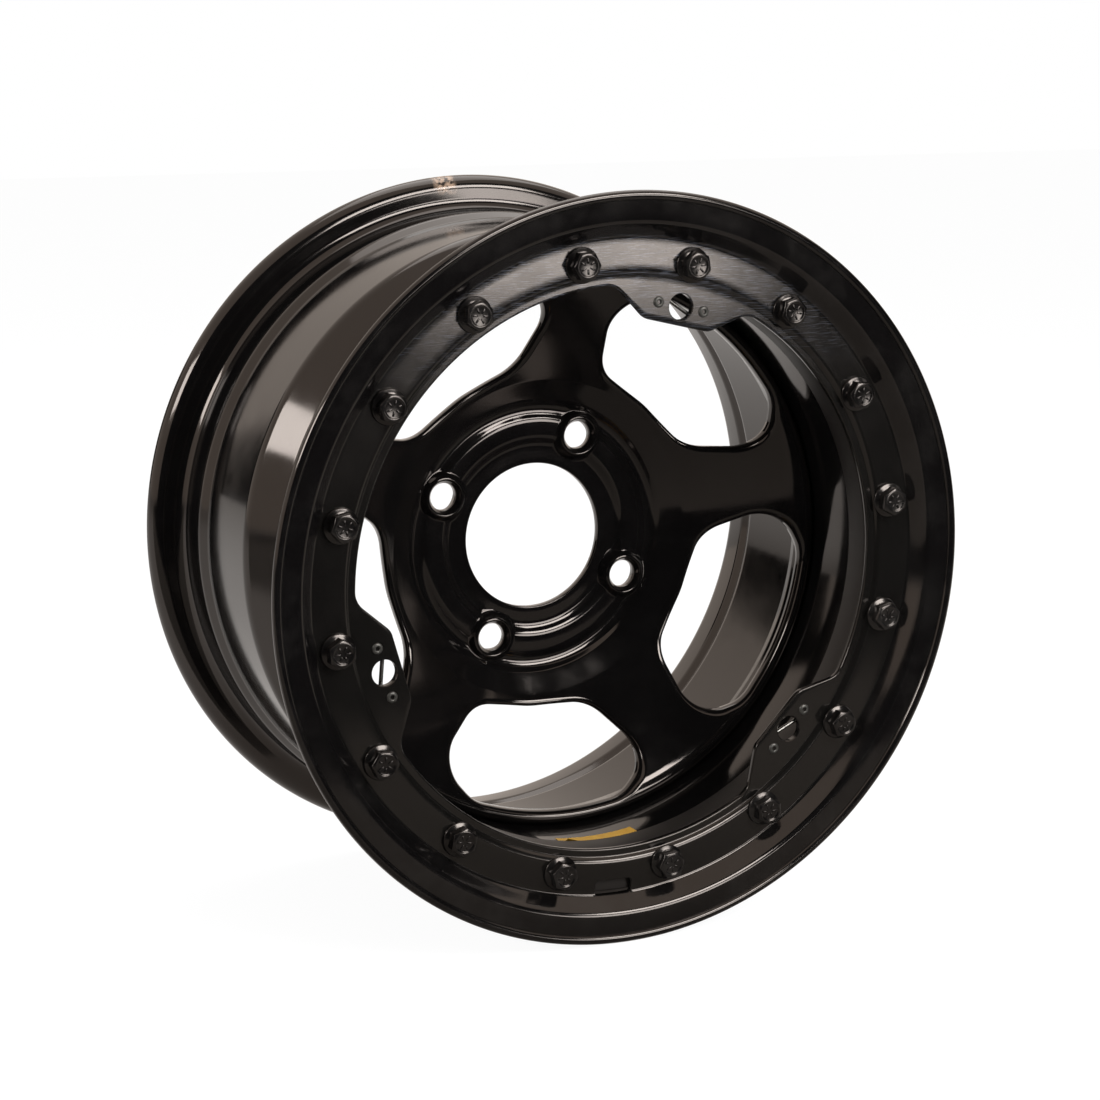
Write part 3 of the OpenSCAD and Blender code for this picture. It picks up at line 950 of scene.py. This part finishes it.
def hexHead():
    # a hexagonal prism whose corners are turned off at 30 degrees, with its edges just broken
    b = bolt
    deselect()
    bpy.ops.mesh.primitive_cylinder_add(vertices=6, radius=b["acrossFlats"] / math.sqrt(3) * mm,
                                        depth=b["headHeight"] * mm)
    head = bpy.context.object
    head.data.transform(Matrix.Rotation(math.pi / 2, 4, "X"))
    head.data.transform(Matrix.Translation((0, -b["headHeight"] / 2 * mm, 0)))
    top, flat, dish = b["headHeight"], b["acrossFlats"] / 2, b["headHeight"] - b["dishDepth"]
    turnedOff = [(0, -1), (flat + 3, -1), (flat + 3, top - 1.75), (flat - 0.5, top - 0.15),
                 (flat - 1.0, top - 0.02), (4.9, top - 0.02), (4.4, dish), (0, dish)]
    die = latheSection("headDie", turnedOff, 96)
    applied(head, "BOOLEAN", operation="INTERSECT", object=die, solver="EXACT")
    bpy.data.objects.remove(die)
    return applied(head, "BEVEL", width=0.3 * mm, segments=2, limit_method="ANGLE",
                   angle_limit=math.radians(38))


def makeBolts():
    b = bolt
    r, shank = b["flangeRadius"], b["shankRadius"]
    flange = latheSection("boltFlange", [
        (shank, 0.02), (r - 0.5, 0.02), (r - 0.15, 0.17), (r, 0.5), (r, 1.0), (r - 0.15, 1.3),
        (r - 0.5, 1.5), (r - 1.6, 1.9), (b["acrossFlats"] / 2, 2.5), (4, 2.6), (0, 2.6),
    ], 64)
    thread = [(shank, 0.1)]
    depth = b["shankLength"] - b["threadLength"]
    while depth < b["shankLength"] - b["pitch"] * 1.5:
        thread += [(shank, -depth), (shank - 0.7, -depth - b["pitch"] / 2)]
        depth += b["pitch"]
    thread += [(shank - 0.2, -depth), (shank - 1.1, -b["shankLength"]), (0, -b["shankLength"])]
    shaft = latheSection("boltShank", thread, 32)
    marks = []
    for i in range(b["markCount"]):
        deselect()
        bpy.ops.mesh.primitive_cube_add(size=mm)
        mark = bpy.context.object
        mark.data.transform(Matrix.Diagonal((b["markLength"], b["markHeight"] + 0.4, b["markWidth"], 1)))
        applied(mark, "BEVEL", width=0.2 * mm, segments=2)
        dish = b["headHeight"] - b["dishDepth"]
        mark.data.transform(Matrix.Translation((b["markAt"] * mm, -dish * mm, 0)))
        mark.data.transform(Matrix.Rotation(fullTurn * i / b["markCount"], 4, "Y"))
        marks.append(mark)
    pattern = joined([flange, hexHead(), shaft] + marks, "boltPattern")
    copies = []
    for i in range(b["count"]):
        spin = math.radians(b["turnStep"] * i % 60)
        seat = place(b["circleRadius"], b["firstAt"] + 360 / b["count"] * i, ring["face"])
        copies.append(copied(pattern, Matrix.Translation(seat) @ Matrix.Rotation(spin, 4, "Y")))
    bpy.data.objects.remove(pattern)
    piece = joined(copies, "clampBolts")
    smooth(piece)
    return finished(piece, boltSteel, "bolt_steel", "clamp_bolts")


makeBolts()
print("bolts done")

# Cover springs and their rivets

spring = {
    "wireRadius": 1.0,
    "wireHeight": 102.6,
    "eyeRadius": 4.6,
    "eyeSweep": 300,
    "eyeSteps": 30,
    "rivetOffset": 12.7,
    "headRadius": 2.8,
    "headHeight": 0.9,
    "boreRadius": 1.05,
    "tailRadius": 4.9,
    "tailHeight": 100.6,
}


def makeSpring(index):
    # an eye round each rivet, joined by a bar that crosses behind the fastener hole
    w = spring
    eye, offset = w["eyeRadius"], w["rivetOffset"]
    lean = math.degrees(math.asin(eye / offset))
    sweep, steps = w["eyeSweep"], w["eyeSteps"]
    trail = []
    for i in range(steps + 1):
        a = math.radians(270 - lean - sweep + sweep * i / steps)
        trail.append(Vector((offset + eye * math.cos(a), eye * math.sin(a))))
    trail += [trail[-1] * (1 - i / 4) for i in range(1, 4)] + [Vector((0, 0))]
    trail += [-p for p in trail[-2::-1]]
    route = [spot(ring["tabHoleAt"], tabAngle(index), p.y, -p.x, w["wireHeight"]) for p in trail]
    piece = drawChain("coverSpring" + str(index + 1), route)
    bpy.ops.object.mode_set(mode="OBJECT")
    bpy.ops.object.convert(target="CURVE")
    piece = bpy.context.object
    piece.data.bevel_depth = w["wireRadius"] * mm
    piece.data.bevel_resolution = 4
    piece.data.use_fill_caps = True
    bpy.ops.object.convert(target="MESH")
    piece = bpy.context.object
    smooth(piece, 50)
    return finished(piece, wireSteel, "spring_wire", "cover_spring_" + str(index + 1))


def makeRivets():
    # drawn heads with a hollow middle on the lip's face, flat tails behind the springs' eyes
    w = spring
    face = ring["lipFace"]
    top = face + w["headHeight"]
    r, bore = w["headRadius"], w["boreRadius"]
    tail, wide = w["tailHeight"], w["tailRadius"]
    pattern = latheSection("rivet", [
        (0, face - 2), (bore, face - 1.9), (bore, top - 0.35), (bore + 0.2, top - 0.1), (bore + 0.5, top),
        (r - 0.9, top - 0.03), (r - 0.35, top - 0.25), (r - 0.06, top - 0.6), (r, face + 0.02),
        (1.6, face - 0.1), (1.6, tail + 1.1), (wide - 0.2, tail + 1.0), (wide, tail + 0.8),
        (wide, tail + 0.2), (wide - 0.2, tail), (0, tail),
    ], 32)
    copies = []
    for i in range(ring["tabCount"]):
        for side in (-1, 1):
            seat = spot(ring["tabHoleAt"], tabAngle(i), 0, side * w["rivetOffset"], 0)
            copies.append(copied(pattern, Matrix.Translation(seat)))
    bpy.data.objects.remove(pattern)
    piece = joined(copies, "springRivets")
    smooth(piece)
    return finished(piece, rivetSteel, "rivet_steel", "spring_rivets")


for index in range(ring["tabCount"]):
    makeSpring(index)
makeRivets()
print("springs and rivets done")

# Bead ring

beadRing = {
    "back": 95.6,
    "front": 105.6,
    "spigotRadius": 144.6,
    "spigotInner": 141.4,
    "spigotEnd": 87.0,
    "lipRadius": 172.0,
    "seatStep": 7.5,
    "lipDepth": 4.6,
    "steps": 288,
}


def makeBeadRing():
    k = beadRing
    seat, back, front = wheel["beadRadius"], k["back"], k["front"]
    step, lip = seat - k["seatStep"], back - k["lipDepth"]
    corners = [
        (k["spigotInner"], k["spigotEnd"], 0.5), (k["spigotRadius"], k["spigotEnd"], 0.5),
        (k["spigotRadius"], back, 0), (step, back, 1), (step, lip, 1),
        (k["lipRadius"], lip, 2), (k["lipRadius"], back + 0.4, 2), (seat, back + 0.4, 2),
        (seat, back + 7.4, 1), (seat - 2.4, front, 1), (ring["innerRadius"] + 8, front, 1),
        (ring["innerRadius"] + 4.6, front - 3.5, 1), (k["spigotInner"], front - 3.5, 1),
    ]
    piece = spinSection("beadRing", roundedPath(corners, 5, closed=True), k["steps"])
    smooth(piece)
    return finished(piece, beadRingPaint, "barrel_paint", "inner_bead_ring")


makeBeadRing()
print("bead ring done")

# Welds

weld = {
    "leg": 3.0,
    "ripple": 1.6,
    "rippleDepth": 0.09,
    "stitchCount": 10,
    "stitchArc": 20,
    "stitchHeight": 32.0,
    "jointRadius": 144.6,
}


def weldBead(name, height, start, sweep, steps):
    # a convex fillet under a joint, with the ripples that the puddle leaves, and run-out ends on a stitch
    k = weld
    corner = Vector((k["jointRadius"], height))
    leg = k["leg"]
    section = [corner, corner + Vector((-leg, 0))]
    for i in range(1, 7):
        a = math.radians(15 * i)
        section.append(corner + Vector((-math.cos(a), -math.sin(a))) * leg * (1 - 0.16 * math.sin(2 * a)))
    piece = spinSection(name, section, steps, start, sweep=sweep)
    for vertex in piece.data.vertices:
        along = (angleOf(vertex.co) - start + 1) % 360 - 1
        wave = math.radians(along) * k["jointRadius"] / k["ripple"] * fullTurn
        size = 1 + k["rippleDepth"] * math.sin(wave)
        if sweep < 360:
            size *= math.sqrt(max(0.04, 1 - abs(2 * along / sweep - 1) ** 6))
        moveTo(vertex, k["jointRadius"] + (radiusOf(vertex.co) - k["jointRadius"]) * size)
        vertex.co.y = -(height + (-vertex.co.y / mm - height) * size) * mm
    return piece


def makeWelds():
    k = weld
    arc = k["stitchArc"]
    stitches = []
    for i in range(k["stitchCount"]):
        middle = centre["spokeAt"] + 180 / centre["windowCount"] + 360 / k["stitchCount"] * i
        stitches.append(closeEnds(weldBead("stitch", k["stitchHeight"], middle - arc / 2, arc, 160)))
    centreWelds = smooth(joined(stitches, "centreWelds"), 50)
    finished(centreWelds, barrelPaint, "barrel_paint", "centre_welds")
    seam = smooth(weldBead("spigotWeld", beadRing["spigotEnd"], 0, 360, 2400), 50)
    finished(seam, barrelPaint, "barrel_paint", "bead_ring_weld")


makeWelds()
print("welds done")

# Sticker inside the barrel

sticker = {
    "from": 262.0,
    "to": 279.0,
    "low": 72.0,
    "high": 86.0,
    "radius": 144.45,
    "curl": 5.0,
    "thickness": 0.12,
}


def makeSticker():
    k = sticker
    deselect()
    bpy.ops.mesh.primitive_grid_add(x_subdivisions=60, y_subdivisions=24, size=1)
    piece = bpy.context.object
    piece.name = "plainSticker"
    for vertex in piece.data.vertices:
        u, v = vertex.co.x + 0.5, vertex.co.y + 0.5
        # one corner has let go of the paint and curls away from it
        loose = max(0, (1 - u) * 0.55 + v * 0.75 - 0.85)
        lift = k["curl"] * loose * loose * 4
        vertex.co = place(k["radius"] - lift, k["from"] + (k["to"] - k["from"]) * u,
                          k["low"] + (k["high"] - k["low"]) * v)
    applied(piece, "SOLIDIFY", thickness=k["thickness"] * mm, offset=0)
    smooth(piece)
    return finished(piece, stickerPaper, "barrel_paint")


makeSticker()
print("sticker done")

# Camera, stage and light, with their sizes and places in metres

studio = {
    "eye": (-0.5958, -1.2575, 0.2707),
    "right": (0.9004, -0.4351, 0),
    "up": (0.0856, 0.1772, 0.9805),
    "back": (-0.4266, -0.8828, 0.1968),
    "lens": 88.62,
    "floorColour": "#f4f4f4",
    "cardColour": "#050505",
    # grey of the painted shade that reflections see on the paper just in front of the wheel
    "paperShadeColour": "#9a958f",
    "roomColour": "#fff1e5",  # what reflections see of the walls and the floor
    "roomLight": 0.45,
    "paperGlow": 1.06,
    "paperShare": 0.88,
    "paperReflected": 0.42,
}


def makeCamera():
    view = bpy.data.objects.new("camera", bpy.data.cameras.new("camera"))
    bpy.context.collection.objects.link(view)
    axes = Matrix([studio[key] for key in ("right", "up", "back")]).transposed()
    view.matrix_world = Matrix.Translation(studio["eye"]) @ axes.to_4x4()
    view.data.sensor_width = 36
    view.data.lens = studio["lens"]
    bpy.context.scene.camera = view


def seenTone(owner, ray):
    # plain white to the camera, and the room's warmer white to every other ray
    tone = addNode(owner, "ShaderNodeMix", colours, _0=ray["Is Camera Ray"],
                   _6=linear(studio["roomColour"]), _7=(1, 1, 1, 1))
    return tone.outputs[2]


def makeWorld():
    # rays that carry the picture see plain white, and the rest get an even, softer light
    world = bpy.data.worlds.new("studio")
    bpy.context.scene.world = world
    world.use_nodes = True
    nodes, links = world.node_tree.nodes, world.node_tree.links
    room = nodes["Background"]
    room.inputs["Color"].default_value = (1, 1, 1, 1)
    room.inputs["Strength"].default_value = studio["roomLight"]
    ray = addNode(world, "ShaderNodeLightPath").outputs
    seen = addNode(world, "ShaderNodeBackground", Color=seenTone(world, ray), Strength=1.0)
    either = addNode(world, "ShaderNodeMath", larger, _0=ray["Is Camera Ray"], _1=ray["Is Glossy Ray"])
    both = addNode(world, "ShaderNodeMath", larger, _0=either.outputs[0], _1=ray["Is Transmission Ray"])
    mix = addNode(world, "ShaderNodeMixShader", _0=both.outputs[0], _1=room.outputs[0], _2=seen.outputs[0])
    links.new(mix.outputs[0], nodes["World Output"].inputs["Surface"])


def floorPaper():
    # Seamless white paper: seen as plain white, dimmed only where the object shades it
    m = newMaterial("seamlessPaper")
    ray = addNode(m, "ShaderNodeLightPath").outputs
    glossy = addNode(m, "ShaderNodeMath", multiply, _0=ray["Is Glossy Ray"], _1=studio["paperReflected"])
    either = addNode(m, "ShaderNodeMath", larger, _0=ray["Is Camera Ray"], _1=glossy.outputs[0])
    lit = addNode(m, "ShaderNodeBsdfDiffuse", Color=linear(studio["floorColour"]))
    white = addNode(m, "ShaderNodeEmission", Color=seenTone(m, ray), Strength=studio["paperGlow"])
    share = addNode(m, "ShaderNodeMath", multiply, _0=either.outputs[0], _1=studio["paperShare"])
    mix = addNode(m, "ShaderNodeMixShader", _0=share.outputs[0], _1=lit.outputs[0], _2=white.outputs[0])
    return connect(m, mix)


def flagCloth(name, colour):
    # Felt on the cards round the camera: black keeps the front faces dark, and grey is painted shade, the
    # paper in front of the wheel lying in shade as reflections see it
    m = newMaterial(name)
    cloth = addNode(m, "ShaderNodeBsdfDiffuse", Color=linear(colour), Roughness=1.0)
    return connect(m, cloth)


def aimed(middle, way):
    # a place whose Z axis points along the way
    return Matrix.Translation(middle) @ way.to_track_quat("Z", "Y").to_matrix().to_4x4()


def staged(name, size, middle, facing, material):
    # a plane marked as part of the stage, turned to face a point
    deselect()
    bpy.ops.mesh.primitive_plane_add(size=1)
    card = bpy.context.object
    card.name = name
    way = Vector(facing) - Vector(middle)
    card.data.transform(aimed(middle, way) @ Matrix.Diagonal((size[0], size[1], 1, 1)))
    card.data.materials.append(material)
    return card


def areaLamp(name, size, middle, facing, power):
    lamp = bpy.data.lights.new(name, "AREA")
    lamp.shape = "RECTANGLE"
    lamp.size, lamp.size_y = size
    lamp.energy = power
    held = bpy.data.objects.new(name, lamp)
    bpy.context.collection.objects.link(held)
    held.matrix_world = aimed(middle, Vector(middle) - Vector(facing))
    held.visible_camera = False


def reflectedCard(name, size, middle, facing, material):
    # a card that only reflections see, so that no other view of the wheel has it in the way
    card = staged(name, size, middle, facing, material)
    card.visible_camera = False
    card.visible_diffuse = False
    card.visible_shadow = False
    return card


def makeStage():
    floor = -wheel["ringRadius"] * mm
    staged("floor", (12, 12), (0, 0, floor), (0, 0, 5), floorPaper())
    felt = flagCloth("blackFelt", studio["cardColour"])
    paperShadeFelt = flagCloth("paperShadeFelt", studio["paperShadeColour"])
    reflectedCard("frontFlag", (7, 3.2), (0, -2.2, floor + 1.6), (0, 0, floor + 1.6), felt)
    reflectedCard("tableEdge", (7, 1.72), (0, -1.38, floor + 0.002), (0, -1.38, 5), felt)
    # painted shade: a grey card that only reflections see, standing for the paper in front of the wheel
    # lying in shade
    reflectedCard("paperShadeCard", (7, 0.42), (0, -0.31, floor + 0.001), (0, -0.31, 5), paperShadeFelt)
    reflectedCard("rearLeftFlag", (0.6, 0.9), (-1.22, 1.9, floor + 0.55), (0, 0, 0), felt)
    reflectedCard("rightFlag", (2.7, 1.8), (2.4, -0.8, floor + 0.9), (0, 0, floor + 0.9), felt)
    areaLamp("topLight", (1.6, 1.6), (0.5, 0.6, 1.9), (0, 0, 0), 18)
    areaLamp("leftLight", (0.9, 0.5), (-1.9, -0.5, 0.95), (0, 0, 0), 20)
    areaLamp("frontLight", (0.95, 0.48), (0.6, -1.55, 0.95), (0, 0, 0), 26)
    areaLamp("lowLight", (0.42, 0.5), (0.7, -1.65, 0.2), (0, -0.1, 0.1), 7)


makeCamera()
makeWorld()
makeStage()
bpy.context.scene.view_settings.view_transform = "Standard"
print("stage done")
